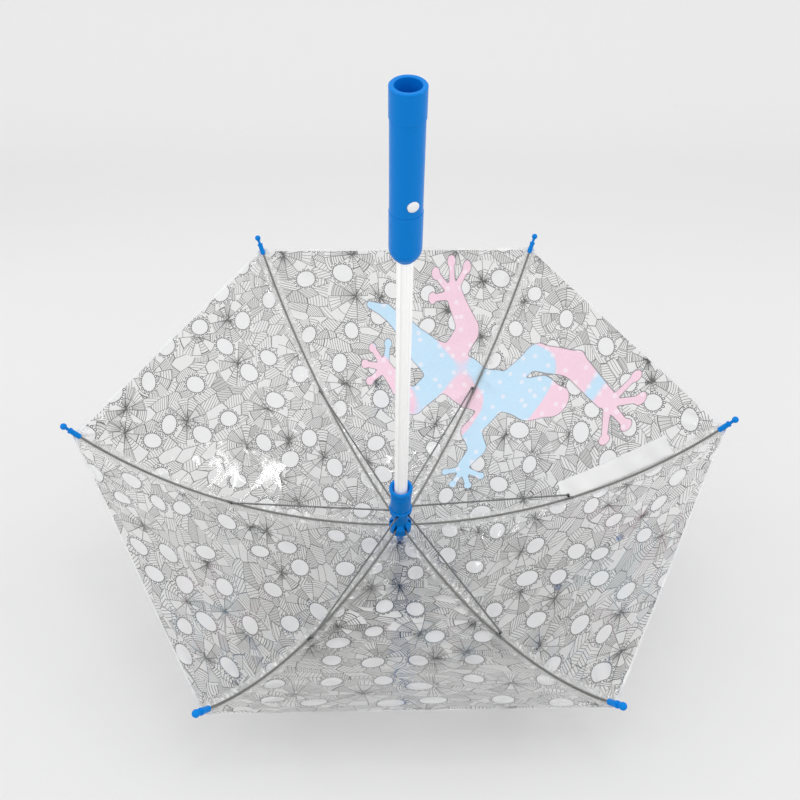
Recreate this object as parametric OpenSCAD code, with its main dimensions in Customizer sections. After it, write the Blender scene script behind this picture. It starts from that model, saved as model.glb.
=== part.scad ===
// Children's stick umbrella with a clear dome canopy and a light-up tube for a shaft.
// It rests open on its ferrule and on the curve of its front panel, with the handle up.
// Every piece is drawn along the shaft's own axis: z = 0 is the plane of the rib hinges in the
// crown and +Z runs up the shaft to the handle. lying() then leans the whole umbrella over.

/* [Canopy] */
// Distance from the shaft to the middle of each rib's ball tip
canopy_radius = 350; // [300:1:420]
// How far the ball tips stand above the crown's hinges
rim_height = 194; // [160:1:230]
// Distance from the shaft to the rib at its clip
clip_radius = 197; // [160:1:230]
// Height of the rib at its clip above the crown's hinges
clip_height = 52; // [40:1:60]
// Thickness of the canopy film
canopy_wall = 0.6; // [0.4:0.1:1]

/* [Shaft] */
// Outside diameter of the light tube
shaft_d = 15; // [12:0.5:18]
// Wall of the light tube
shaft_wall = 1.5; // [1:0.1:2.5]
// Height of the handle's lower edge above the crown's hinges
handle_start = 416; // [400:1:520]
// Diameter of the light guide inside the tube
guide_d = 6; // [4:0.5:7]

/* [Crown and runner] */
// How far the crown's notched flange stands out from the tube
crown_rim = 6; // [5.5:0.25:8.5]
// Distance from the tube to the wire ring that the rib eyes hang on
rib_hinge_gap = 3.3; // [3.1:0.1:3.5]
// Distance from the tube to the wire ring that the stretcher eyes hang on
stretcher_hinge_gap = 3.5; // [3.3:0.1:3.7]
// Height of the stretcher hinges above the rib hinges when open
runner_open = 35; // [30:1:40]
// Length of the runner above its stretcher hinges
runner_length = 43; // [35:1:50]
// Length of the ferrule below the crown's hinges
ferrule_length = 35; // [28:1:60]

/* [Ribs] */
// Diameter of the rib wire
rib_d = 2.4; // [2:0.1:2.6]
// Diameter of the stretcher wire
stretcher_d = 2; // [1.6:0.1:2.2]
// Diameter of the ball at a rib's tip
ball_d = 7; // [6:0.5:9]
// Length of the sleeve that holds the rib's end
sleeve_length = 11; // [8:0.5:14]

/* [Handle] */
// Length of the whole handle
handle_length = 161; // [150:1:190]
// Diameter of the grip
grip_d = 28; // [26.5:0.5:32]
// Length of the handle's lower sleeve
handle_sleeve_length = 51; // [46:1:60]
// Length of the collar at the open end
collar_length = 26; // [24:1:32]
// Diameter of the hole in the open end
socket_d = 21; // [20:0.5:21.5]
// Diameter of the push button
button_d = 10; // [8:0.5:11]
// How far the button goes in
button_travel = 1; // [0.5:0.1:1.2]

/* [Trim] */
// Width of the closing strap
strap_width = 14; // [10:1:18]
// Length of the closing strap
strap_length = 98; // [70:1:110]
// Width of the care label
label_width = 24; // [15:1:28]
// Length of the care label
label_length = 140; // [80:1:150]

/* [Hidden] */
RIBS = 6;
STEP = 360 / RIBS;
fit = 0.05;        // between pieces of one body that seat in each other
running = 0.08;    // between the runner and the tube
loose = 0.25;      // between pieces on different bodies that pass each other
wire_d = 1.2;      // ring wires in the crown and the runner
facets = 64;
crown_d = shaft_d + 2 * crown_rim;
rib_hinge_r = shaft_d / 2 + rib_hinge_gap;
stretcher_hinge_r = shaft_d / 2 + stretcher_hinge_gap;

// --- the rib's line: one arc through the hinge, the clip and the ball ---
function circle_centre(a, b, c) =
    let (d = 2 * (a.x * (b.y - c.y) + b.x * (c.y - a.y) + c.x * (a.y - b.y)),
         aa = a * a, bb = b * b, cc = c * c)
    [(aa * (b.y - c.y) + bb * (c.y - a.y) + cc * (a.y - b.y)) / d,
     (aa * (c.x - b.x) + bb * (a.x - c.x) + cc * (b.x - a.x)) / d];
hinge = [rib_hinge_r, 0];
clip = [clip_radius, clip_height];
tip = [canopy_radius, rim_height];
arc_centre = circle_centre(hinge, clip, tip);
arc_r = norm(tip - arc_centre);
function arc_angle(p) = atan2(p.y - arc_centre.y, p.x - arc_centre.x);
function on_arc(angle, inward = 0) =
    arc_centre + (arc_r - inward) * [cos(angle), sin(angle)];
degree_per_mm = 180 / (PI * arc_r);
hinge_angle = arc_angle(hinge);
clip_angle = arc_angle(clip);
ball_gap = 10.5;                       // from the ball's middle to its sleeve's mouth
end_angle = arc_angle(tip) - (ball_gap + sleeve_length) * degree_per_mm;
rib_end = on_arc(end_angle);
end_direction = [-sin(end_angle), cos(end_angle)];
ball = rib_end + (ball_gap + sleeve_length) * end_direction;

// --- the canopy's curve: sheets run just outside the rib's line ---
mid = cos(STEP / 2);                   // a panel's middle is this share of a rib's distance out
patch_r = crown_d / 2 - 0.5;
crown_bottom = -7;
canopy_inner = patch_r / mid + 0.6;
corner_angle = arc_angle(tip) - 14 * degree_per_mm;
inner_angle = asin((canopy_inner - arc_centre.x) / arc_r) - 90;
ROWS = 18;
function smooth(t) = let (c = max(0, min(1, t))) c * c * (3 - 2 * c);
// How far outside the rib's line the sheet's inner face runs: close along the rib, out over
// the tip's sleeve, and down to the patch at the crown
function stand_off(u) =
    1.9 + 1.6 * smooth((u - 0.9) / 0.06) - (crown_bottom + 2.2) * pow(max(0, 1 - u / 0.16), 2);
function row_angle(u) = inner_angle + u * (corner_angle - inner_angle);
function row_point(u, depth = 0) = on_arc(row_angle(u), -stand_off(u) - depth);

// --- where it rests: on the ferrule's round tip and the front panel's lowest chord ---
ferrule_tip_r = 4.5;
ferrule_tip = -ferrule_length + ferrule_tip_r;
function lean_onto(p) = atan2(p.y - ferrule_tip, p.x * mid)
    + asin(ferrule_tip_r / norm([p.x * mid, p.y - ferrule_tip]));
lean = min([for (r = [0:ROWS]) lean_onto(row_point(r / ROWS, canopy_wall))]);
handle_end = handle_start + handle_length;
collar_d = grip_d + 1.2;
front = ball.x * mid;                  // the front tips' distance from the shaft, along y
y_back = front * cos(lean) - ball.y * sin(lean) + ball_d / 2;
y_front = -max(front * cos(lean) + ball.y * sin(lean) + ball_d / 2,
               handle_end * sin(lean) + collar_d / 2 * cos(lean));
lift = ferrule_tip_r - ferrule_tip * cos(lean);

module lying() {
    translate([0, -(y_back + y_front) / 2, lift]) rotate([lean, 0, 0]) children();
}
module at_rib(i) {
    rotate([0, 0, i * STEP]) children();
}
// A solid drawn with x along the rib's plane and y up the shaft, standing across that plane
module across(offset, thickness) {
    translate([0, offset + thickness / 2, 0]) rotate([90, 0, 0]) linear_extrude(thickness) children();
}

// --- crown: holds the tube's end, the rib hinges and the ferrule ---
crown_top = 6;
sleeve_top = runner_open - 3.1;
boss_r = 4;
boss_length = 10;
tube_r = shaft_d / 2;
bore_r = tube_r - shaft_wall;
eye_r = 1.9;
eye_width = 1.6;
slot_inner = rib_hinge_r - eye_r - 0.3;

module crown() {
    color("dodgerblue") difference() {
        rotate_extrude($fn = facets) polygon([
            [0, crown_bottom - boss_length], [boss_r, crown_bottom - boss_length],
            [boss_r, crown_bottom], [crown_d / 2 - 1, crown_bottom],
            [crown_d / 2, crown_bottom + 1], [crown_d / 2, crown_top - 1],
            [crown_d / 2 - 1, crown_top], [tube_r + 1.6, crown_top + 4],
            [tube_r + 1.6, sleeve_top - 0.6], [tube_r + 1.2, sleeve_top],
            [tube_r + fit, sleeve_top], [tube_r + fit, crown_bottom + 2],
            [bore_r - fit, crown_bottom + 2], [bore_r - fit, 6],
            [guide_d / 2 + fit, 6], [guide_d / 2 + fit, 1], [0, 1]]);
        for (i = [0:RIBS - 1]) at_rib(i)
            translate([slot_inner, -(rib_d + 0.6) / 2, -eye_r - 0.4])
                cube([crown_d, rib_d + 0.6, crown_top + 12]);
        wire_groove(rib_hinge_r, -wire_d / 2 - fit, crown_top + 1);
    }
}
// A ring-shaped groove for a hinge wire, from z = low to z = high
module wire_groove(r, low, high) {
    rotate_extrude($fn = facets)
        translate([r - wire_d / 2 - fit, low]) square([wire_d + 2 * fit, high - low]);
}
module wire_ring(r, z) {
    color("silver") translate([0, 0, z])
        rotate_extrude($fn = facets) translate([r, 0]) circle(d = wire_d, $fn = 24);
}
module crown_wire() { wire_ring(rib_hinge_r, 0); }

// --- ferrule, with the washer and patch that clamp the canopy's middle ---
washer_wall = 1.4;
module canopy_patch() {
    color("gainsboro") translate([0, 0, crown_bottom - canopy_wall]) ring(patch_r, boss_r + fit, canopy_wall);
}
module canopy_washer() {
    color("dodgerblue") rotate_extrude($fn = facets) polygon([
        [boss_r + fit, crown_bottom - canopy_wall], [patch_r - 1, crown_bottom - canopy_wall],
        [patch_r - 1, crown_bottom - canopy_wall - 0.5],
        [patch_r - 3, crown_bottom - canopy_wall - washer_wall],
        [boss_r + fit, crown_bottom - canopy_wall - washer_wall]]);
}
module ferrule() {
    top = crown_bottom - canopy_wall - washer_wall;
    seat = crown_bottom - boss_length - 0.2;
    color("dodgerblue") rotate_extrude($fn = facets) polygon([
        [0, seat], [boss_r + fit, seat], [boss_r + fit, top], [8, top], [8, top - 2],
        [6.6, top - 4], [ferrule_tip_r, top - 12],
        for (a = [0:7.5:90]) [ferrule_tip_r * cos(a), ferrule_tip - ferrule_tip_r * sin(a)]]);
}
module ring(outer, inner, height) {
    difference() {
        cylinder(r = outer, h = height, $fn = facets);
        translate([0, 0, -1]) cylinder(r = inner, h = height + 2, $fn = facets);
    }
}

// --- shaft: the light tube with its guide ---
tube_bottom = crown_bottom + 2;
tube_top = handle_start + 44;
guide_top = tube_top - 10;
module shaft_tube() {
    color("whitesmoke") translate([0, 0, tube_bottom]) ring(tube_r, bore_r, tube_top - tube_bottom);
}
module light_guide() {
    color("lightcyan") translate([0, 0, 1]) cylinder(d = guide_d, h = guide_top - 1, $fn = facets);
}

// --- runner: slides on the tube and carries the stretchers ---
stretcher_side = rib_d / 2 + 0.3 + loose + stretcher_d / 2;   // stretchers lie beside the ribs
stretcher_foot = [sqrt(pow(stretcher_hinge_r, 2) - pow(stretcher_side, 2)), runner_open];
runner_bottom = runner_open - 3;
runner_top = runner_open + runner_length;
runner_bore = tube_r + running;
notch_r = crown_d / 2;
module runner() {
    band_r = notch_r - 1.3;
    color("dodgerblue") difference() {
        rotate_extrude($fn = facets) polygon([
            [runner_bore, runner_bottom], [notch_r - 0.5, runner_bottom],
            [notch_r, runner_bottom + 0.5], [notch_r, runner_open + 3],
            [notch_r - 0.5, runner_open + 3.5], [band_r - 0.7, runner_open + 4],
            [band_r, runner_open + 7], [band_r, runner_top - 13],
            [band_r - 0.9, runner_top - 10], [band_r - 1.2, runner_top - 8.5],
            [band_r - 0.9, runner_top - 7], [notch_r - 0.8, runner_top - 6.2],
            [notch_r, runner_top - 5], [notch_r, runner_top - 1],
            [notch_r - 0.9, runner_top], [tube_r + 3, runner_top],
            [runner_bore, runner_top - 9]]);
        for (i = [0:RIBS - 1]) at_rib(i)
            translate([stretcher_hinge_r - eye_r - 0.8, stretcher_side - 1.6, runner_bottom - 1])
                cube([crown_d, 3.2, 6.4]);
        wire_groove(stretcher_hinge_r, runner_bottom - 1, runner_open + wire_d / 2 + fit);
    }
}
module runner_wire() { wire_ring(stretcher_hinge_r, runner_open); }

// --- one rib, its clip, tip, stretcher and share of the canopy ---
module rib(i) {
    start = hinge_angle + 1.3 * degree_per_mm;
    color("gray") at_rib(i) {
        rotate([90, 0, 0]) translate(concat(arc_centre, 0)) rotate([0, 0, start])
            rotate_extrude(angle = end_angle - start, $fn = 180)
                translate([arc_r, 0]) circle(d = rib_d, $fn = 24);
        along(rib_end, end_angle) translate([0, 0, -1]) cylinder(d = rib_d - 0.1, h = sleeve_length - 1, $fn = 24);
        across(0, eye_width) translate(hinge) difference() {
            circle(r = eye_r, $fn = 32);
            circle(r = wire_d / 2 + 0.08, $fn = 24);
        }
    }
}
// Puts z along the rib's direction at a point of its line
module along(p, angle) {
    translate([p.x, 0, p.y]) rotate([0, -angle, 0]) children();
}
pivot_drop = 3;                        // from the rib's line in to the stretcher's pivot
pivot = on_arc(clip_angle, pivot_drop);
clip_wall = 0.3;
module rib_clip(i) {
    length = 9;
    color("silver") at_rib(i) {
        along(clip, clip_angle) difference() {
            translate([0, 0, -length / 2]) cylinder(r = rib_d / 2 + fit + clip_wall, h = length, $fn = 32);
            translate([0, 0, -length]) cylinder(r = rib_d / 2 + fit, h = 2 * length, $fn = 32);
        }
        translate([0, rib_d / 2 + 0.1 + clip_wall / 2, 0]) rotate([90, 0, 0])
            linear_extrude(clip_wall, center = true) hull() {
                translate(on_arc(clip_angle, 0.9)) circle(r = 0.8, $fn = 24);
                translate(pivot) circle(r = 1.7, $fn = 24);
            }
    }
}
module stretcher(i) {
    run = pivot - stretcher_foot;
    color("silver") at_rib(i) translate([0, stretcher_side, 0]) {
        translate([stretcher_foot.x, 0, stretcher_foot.y])
            rotate([0, atan2(run.x, run.y), 0])
                translate([0, 0, 1.4]) cylinder(d = stretcher_d, h = norm(run) - 1.4, $fn = 24);
        across(0, eye_width) translate(stretcher_foot) difference() {
            circle(r = eye_r + 0.2, $fn = 32);
            circle(r = wire_d / 2 + 0.35, $fn = 24);
        }
        across(0, eye_width) translate(pivot) circle(r = eye_r, $fn = 32);
        across(0.3, stretcher_d + 0.4) translate(pivot) circle(r = 1, $fn = 24);
    }
}
module rib_tip(i) {
    mouth = ball_gap;                  // measured back from the ball's middle
    neck_r = ball_d * 0.24;
    sleeve_r = rib_d / 2 + 1.6;
    color("dodgerblue") at_rib(i) along(ball, end_angle) rotate([180, 0, 0])
        rotate_extrude($fn = 48) difference() {
            union() {
                intersection() {
                    circle(d = ball_d, $fn = 48);
                    translate([0, -ball_d]) square(2 * ball_d);
                }
                polygon([[0, 0], [neck_r + 0.4, 0], [neck_r, 4], [neck_r, 7], [sleeve_r + 0.5, 7.6],
                         [sleeve_r + 0.5, 9.2], [sleeve_r, 9.8], [sleeve_r, mouth + sleeve_length - 0.6],
                         [sleeve_r - 0.5, mouth + sleeve_length], [0, mouth + sleeve_length]]);
            }
            translate([0, mouth + 1.5]) square([rib_d / 2 + fit, sleeve_length]);
        }
}

// --- canopy: six sheets, each centred on its rib and cut at the panels' middles ---
canopy_gap = 0.15;                     // from a sheet's edge to the panel's middle
// x: along the rib, y: across it, z: up the shaft; side is -1, 0 or 1
function canopy_point(u, side, depth) =
    let (p = row_point(u, depth), half = p.x * mid * sin(STEP / 2) - canopy_gap * mid)
    side == 0 ? [p.x, 0, p.y]
              : [p.x * mid * mid + canopy_gap * sin(STEP / 2), side * half, p.y];
module canopy(i) {
    layer = (ROWS + 1) * 3;
    points = [for (depth = [0, canopy_wall], r = [0:ROWS], side = [-1:1]) canopy_point(r / ROWS, side, depth)];
    function id(face, r, s) = face * layer + r * 3 + s;
    sheet = [for (r = [0:ROWS - 1], s = [0, 1]) each [
        [id(0, r, s), id(0, r + 1, s), id(0, r + 1, s + 1), id(0, r, s + 1)],
        [id(1, r, s), id(1, r, s + 1), id(1, r + 1, s + 1), id(1, r + 1, s)]]];
    sides = [for (r = [0:ROWS - 1]) each [
        [id(0, r, 0), id(1, r, 0), id(1, r + 1, 0), id(0, r + 1, 0)],
        [id(0, r, 2), id(0, r + 1, 2), id(1, r + 1, 2), id(1, r, 2)]]];
    ends = [for (s = [0, 1]) each [
        [id(0, 0, s), id(0, 0, s + 1), id(1, 0, s + 1), id(1, 0, s)],
        [id(0, ROWS, s), id(1, ROWS, s), id(1, ROWS, s + 1), id(0, ROWS, s + 1)]]];
    color("gainsboro", 0.5) at_rib(i) polyhedron(points, concat(sheet, sides, ends), convexity = 4);
}

// --- trim on the canopy's outside and inside ---
// A strip that follows a panel. It is centred where the panel's ribs are out at distance rho and
// c from the panel's middle, along its level chords; turn is its turn from those chords.
module strip(gore_turn, rho, c, turn, length, width, depth, wall, round_ends = false) {
    rows = 12;
    centre = asin((rho - arc_centre.x) / arc_r) - 90;
    rise = norm([mid * sin(centre), cos(centre)]) * arc_r * PI / 180;   // along the panel, per degree
    function point(l, w, d) =
        let (p = on_arc(centre + (l * sin(turn) + w * cos(turn)) / rise, -1.9 - d))
        [p.x * mid, c + l * cos(turn) - w * sin(turn), p.y];
    function half_width(l) = let (past = max(0, abs(l) - (length - width) / 2))
        round_ends ? sqrt(max(0.02, pow(width / 2, 2) - past * past)) : width / 2;
    points = [for (k = [0:rows]) let (l = -length / 2 * cos(180 * k / rows), h = half_width(l))
        each [point(l, -h, depth), point(l, h, depth), point(l, h, depth + wall), point(l, -h, depth + wall)]];
    walls = [for (k = [0:rows - 1], s = [0:3])
        [4 * k + s, 4 * k + 4 + s, 4 * k + 4 + (s + 1) % 4, 4 * k + (s + 1) % 4]];
    ends = [[0, 1, 2, 3], [for (s = [3:-1:0]) 4 * rows + s]];
    rotate([0, 0, gore_turn]) polyhedron(points, concat(walls, ends), convexity = 4);
}
strap_rho = 257;                       // the strap crosses the panel right of the front one
strap_c = 5;
strap_turn = 37;
strap_depth = canopy_wall + 0.4;
strap_wall = 0.4;
strap_gore = -STEP / 2;
module closing_strap() {
    color("gainsboro", 0.6) strip(strap_gore, strap_rho, strap_c, strap_turn,
                                  strap_length, strap_width, strap_depth, strap_wall, true);
}
// A snap at one end of the strap, end being -1 or 1
module snap(end, depth) {
    snap_d = 9;
    span = end * (strap_length - strap_width) / 2;
    color("royalblue")
        strip(strap_gore, strap_rho + span * sin(strap_turn) * 0.85, strap_c + span * cos(strap_turn),
              0, snap_d, snap_d, depth, 1.4, true);
}
module strap_snap() { snap(-1, strap_depth + strap_wall); }
module canopy_snap() { snap(1, strap_depth + strap_wall); }
module care_label() {
    color("white") strip(STEP / 2, 255, -111, 112.5, label_length, label_width, -0.4, 0.25);
}

// --- handle: a lower sleeve on the tube, the grip and the collar with its battery cap ---
grip_r = grip_d / 2;
spigot_r = grip_r - 1.8;               // the joints between the handle's shells
spigot_length = 9;
cavity_r = spigot_r - 2.6;
sleeve_end = handle_start + handle_sleeve_length;
collar_start = handle_end - collar_length;
socket_r = socket_d / 2;
button_z = handle_start + 63;
button_turn = -68;                     // which way the button faces, round the shaft from +X
module handle_sleeve() {
    outer = grip_r + 0.4;
    color("dodgerblue") rotate_extrude($fn = facets) polygon([
        [tube_r + fit, handle_start], [tube_r + 0.8, handle_start], [tube_r + 0.8, handle_start + 1.5],
        [outer - 3.5, handle_start + 3], [outer - 1.4, handle_start + 6.5],
        [outer - 0.3, handle_start + 10], [outer, handle_start + 13], [outer, sleeve_end - 0.6],
        [outer - 0.6, sleeve_end], [spigot_r + fit, sleeve_end],
        [spigot_r + fit, sleeve_end - spigot_length], [cavity_r, sleeve_end - spigot_length],
        [cavity_r, tube_top], [tube_r + fit, tube_top]]);
}
module towards_button() {
    rotate([0, 0, button_turn]) translate([0, 0, button_z]) rotate([0, 90, 0]) children();
}
button_hole_r = button_d / 2 + 0.25;
flange_r = button_d / 2 + 1;
flange_top = grip_r - 5.2;
module handle_body() {
    color("dodgerblue") difference() {
        rotate_extrude($fn = facets) polygon([
            [cavity_r, sleeve_end - spigot_length + 0.2], [spigot_r, sleeve_end - spigot_length + 0.2],
            [spigot_r, sleeve_end + 0.05], [grip_r - 0.5, sleeve_end + 0.05], [grip_r, sleeve_end + 0.5],
            [grip_r, collar_start], [spigot_r + fit, collar_start],
            [spigot_r + fit, collar_start - spigot_length], [cavity_r, collar_start - spigot_length]]);
        towards_button() {
            cylinder(r = button_hole_r, h = grip_d, $fn = 48);
            cylinder(r = flange_r + 0.3, h = flange_top + 0.3, $fn = 48);
        }
    }
}
module push_button() {
    color("white") towards_button() rotate_extrude($fn = 48) polygon([
        [0, flange_top - 1.4], [flange_r, flange_top - 1.4], [flange_r, flange_top],
        [button_d / 2, flange_top], [button_d / 2, grip_r + 0.2],
        [button_d / 2 - 0.9, grip_r + 0.9], [button_d / 2 - 2.6, grip_r + 1.25], [0, grip_r + 1.4]]);
}
socket_depth = 16;
cap_wall = 3;
cap_top = handle_end - socket_depth;
cap_seat = cap_top - cap_wall - 0.1;
cap_bore_r = socket_r - 0.3;
module handle_collar() {
    color("dodgerblue") rotate_extrude($fn = facets) polygon([
        [socket_r - 1.2, collar_start - spigot_length + 0.2], [spigot_r, collar_start - spigot_length + 0.2],
        [spigot_r, collar_start], [collar_d / 2 - 0.4, collar_start], [collar_d / 2, collar_start + 0.4],
        [collar_d / 2, handle_end - 0.8], [collar_d / 2 - 0.8, handle_end],
        [socket_r + 0.5, handle_end], [socket_r, handle_end - 0.5], [socket_r, cap_top + 0.3],
        [cap_bore_r, cap_top + 0.3], [cap_bore_r, cap_seat], [socket_r - 1.2, cap_seat]]);
}
module battery_cap() {
    slot_depth = 1.2;
    color("deepskyblue") difference() {
        translate([0, 0, cap_top - cap_wall]) cylinder(r = cap_bore_r - loose, h = cap_wall, $fn = facets);
        translate([-8, -0.9, cap_top - slot_depth]) cube([16, 1.8, slot_depth + 1]);
    }
}

// --- light and power inside the handle ---
cell_r = 5.8;
cell_height = 5.4;
CELLS = 3;
cells_top = cap_seat - 0.2;
cells_bottom = cells_top - CELLS * cell_height;
spring_height = 6;
holder_floor = 1.5;
holder_bottom = cells_bottom - spring_height - holder_floor;
module battery_holder() {
    color("dimgray") difference() {
        translate([0, 0, holder_bottom])
            cylinder(r = socket_r - 1.2 - fit, h = cells_top - holder_bottom, $fn = facets);
        translate([0, 0, holder_bottom + holder_floor]) cylinder(r = cell_r + 0.15, h = 100, $fn = facets);
    }
}
module battery_cells() {
    color("silver") for (n = [0:CELLS - 1]) translate([0, 0, cells_bottom + n * cell_height]) {
        cylinder(r = cell_r, h = cell_height - 0.6, $fn = facets);
        translate([0, 0, cell_height - 0.6]) cylinder(r = cell_r - 1, h = 0.6, $fn = facets);
    }
}
module battery_spring() {
    turns = 3;
    per_turn = 14;
    sides = 6;
    wire_r = 0.35;
    pitch = (spring_height - 2 * wire_r - 0.1) / turns;
    rings = turns * per_turn;
    function centre(k) = let (a = 360 * k / per_turn, r = 4.6 - 2.2 * k / rings)
        [r * cos(a), r * sin(a), holder_bottom + holder_floor + 0.05 + wire_r + pitch * k / per_turn];
    points = [for (k = [0:rings], s = [0:sides - 1])
        let (a = 360 * k / per_turn, b = 360 * s / sides, out = wire_r * cos(b))
        centre(k) + [out * cos(a), out * sin(a), wire_r * sin(b)]];
    walls = [for (k = [0:rings - 1], s = [0:sides - 1])
        [k * sides + s, (k + 1) * sides + s, (k + 1) * sides + (s + 1) % sides, k * sides + (s + 1) % sides]];
    caps = [[for (s = [0:sides - 1]) s], [for (s = [sides - 1:-1:0]) rings * sides + s]];
    color("gold") polyhedron(points, concat(walls, caps), convexity = 8);
}
board_x = 1;                           // the board stands this far from the axis, towards the button
board_wall = 1.2;
switch_wall = 2.4;
module circuit_board() {
    color("seagreen") rotate([0, 0, button_turn])
        translate([board_x, -6.5, tube_top + 6]) cube([board_wall, 13, button_z + 14 - tube_top - 6]);
}
module tact_switch() {
    face = board_x + board_wall + switch_wall;
    color("dimgray") rotate([0, 0, button_turn])
        translate([board_x + board_wall, -3, button_z - 3]) cube([switch_wall, 6, 6]);
    color("black") towards_button() translate([0, 0, face])
        cylinder(r = 1.6, h = flange_top - 1.4 - button_travel - 0.1 - face, $fn = 32);
}
led_r = 2.4;
led_base = tube_top - 4;
led_nose = guide_top + 0.2;
module led() {
    color("white") {
        translate([0, 0, led_nose + led_r]) cylinder(r = led_r, h = led_base - led_nose - led_r, $fn = 32);
        translate([0, 0, led_nose + led_r]) sphere(r = led_r, $fn = 32);
        translate([0, 0, led_base]) cylinder(r = led_r + 0.5, h = 1.2, $fn = 32);
    }
    color("silver") for (x = [-1.27, 1.27]) rotate([0, 0, button_turn]) translate([board_x - 0.4, x, led_base + 0.6])
        cylinder(r = 0.3, h = tube_top + 8.6 - led_base, $fn = 16);
}
module led_holder() {
    color("white") translate([0, 0, led_base - 3]) ring(bore_r - fit, led_r + fit, 3);
}

// --- the pieces ---
FIXED = ["shaft_tube", "light_guide", "crown", "crown_wire", "canopy_patch", "canopy_washer", "ferrule",
         "handle_sleeve", "handle_body", "handle_collar", "battery_holder", "battery_cells",
         "battery_spring", "circuit_board", "tact_switch", "led", "led_holder"];
MOVING = ["runner", "runner_wire", "push_button", "battery_cap"];
TRIM = ["closing_strap", "strap_snap", "canopy_snap", "care_label"];
PER_RIB = [for (piece = ["rib", "rib_clip", "rib_tip", "stretcher", "canopy"], i = [1:RIBS]) str(piece, "_", i)];

lying() shaft_tube();
lying() light_guide();
lying() crown();
lying() crown_wire();
lying() canopy_patch();
lying() canopy_washer();
lying() ferrule();
lying() handle_sleeve();
lying() handle_body();
lying() handle_collar();
lying() battery_holder();
lying() battery_cells();
lying() battery_spring();
lying() circuit_board();
lying() tact_switch();
lying() led();
lying() led_holder();
lying() runner();
lying() runner_wire();
lying() push_button();
lying() battery_cap();
lying() closing_strap();
lying() strap_snap();
lying() canopy_snap();
lying() care_label();
for (i = [0:RIBS - 1]) {
    lying() rib(i);
    lying() rib_clip(i);
    lying() rib_tip(i);
    lying() stretcher(i);
    lying() canopy(i);
}
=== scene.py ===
import math

import bpy
import numpy as np
from mathutils import Matrix, Vector


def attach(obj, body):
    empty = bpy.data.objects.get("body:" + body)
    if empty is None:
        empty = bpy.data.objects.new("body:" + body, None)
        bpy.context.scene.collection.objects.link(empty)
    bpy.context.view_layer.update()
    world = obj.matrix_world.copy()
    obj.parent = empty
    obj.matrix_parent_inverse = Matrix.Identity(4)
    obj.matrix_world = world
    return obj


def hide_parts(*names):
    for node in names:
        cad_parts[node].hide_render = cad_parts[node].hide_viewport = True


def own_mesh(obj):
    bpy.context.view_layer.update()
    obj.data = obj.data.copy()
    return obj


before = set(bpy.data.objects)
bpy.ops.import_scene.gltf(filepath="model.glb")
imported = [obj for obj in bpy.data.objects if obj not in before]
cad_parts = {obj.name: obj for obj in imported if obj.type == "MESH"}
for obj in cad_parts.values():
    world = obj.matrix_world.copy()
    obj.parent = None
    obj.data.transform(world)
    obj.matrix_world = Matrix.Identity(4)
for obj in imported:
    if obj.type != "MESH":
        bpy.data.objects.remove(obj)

bl_info = {
    "name": "Clear dome umbrella",
    "version": (1, 0, 0),
    "blender": (4, 5, 0),
    "location": "View3D > Sidebar > Umbrella",
    "description": "Builds the looks of a child's clear dome umbrella on its CAD frame",
    "category": "Object",
}

# ---- the CAD frame's own sizes, in millimetres, along the shaft's axis ----
RIBS = 6
STEP = 60.0
MID = math.cos(math.radians(STEP / 2))
HINGE, CLIP, TIP = (10.8, 0.0), (197.0, 52.0), (350.0, 194.0)
FERRULE_R, FERRULE_TIP = 4.5, -30.5
BALL_R = 3.5
HANDLE_END = 577.0
COLLAR_R = 14.6
CROWN_BOTTOM = -7.0
FILM = 0.6
PATCH_R = 13
FILM_LENGTH = 430           # along a rib, from the patch to the hem, near enough for the creases
SAMPLES = 401               # points at which the panel's curve is measured
CORNER_BACK, BALL_BACK = 14.0, 21.5     # from the rib's tip: the film's corner, the ball's socket


def circle_centre(a, b, c):
    d = 2 * (a[0] * (b[1] - c[1]) + b[0] * (c[1] - a[1]) + c[0] * (a[1] - b[1]))
    aa, bb, cc = (p[0] ** 2 + p[1] ** 2 for p in (a, b, c))
    return (
        (aa * (b[1] - c[1]) + bb * (c[1] - a[1]) + cc * (a[1] - b[1])) / d,
        (aa * (c[0] - b[0]) + bb * (a[0] - c[0]) + cc * (b[0] - a[0])) / d,
    )


ARC = circle_centre(HINGE, CLIP, TIP)
ARC_R = math.hypot(TIP[0] - ARC[0], TIP[1] - ARC[1])


def arc_angle(p):
    return math.atan2(p[1] - ARC[1], p[0] - ARC[0])


INNER = math.asin((PATCH_R / MID + FILM - ARC[0]) / ARC_R) - math.pi / 2
CORNER = arc_angle(TIP) - CORNER_BACK / ARC_R
END = arc_angle(TIP) - BALL_BACK / ARC_R
BALL = (
    ARC[0] + ARC_R * math.cos(END) - BALL_BACK * math.sin(END),
    ARC[1] + ARC_R * math.sin(END) + BALL_BACK * math.cos(END),
)


def smooth(t):
    t = np.clip(t, 0, 1)
    return t * t * (3 - 2 * t)


def row(u, out=0.0):
    """Distance from the shaft and height of the film's inner face along a rib.
    u is 0 at the crown and 1 at the corner."""
    u = np.asarray(u, float)
    a = INNER + u * (CORNER - INNER)
    off_rib = 1.9 + 1.6 * smooth((u - 0.9) / 0.06)
    under_crown = -(CROWN_BOTTOM + 2.2) * np.maximum(0, 1 - u / 0.16) ** 2
    r = ARC_R + out + off_rib + under_crown
    return ARC[0] + r * np.cos(a), ARC[1] + r * np.sin(a)


def lean_onto(p):
    x, y = p[0] * MID, p[1] - FERRULE_TIP
    return math.atan2(y, x) + math.asin(FERRULE_R / math.hypot(x, y))


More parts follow.
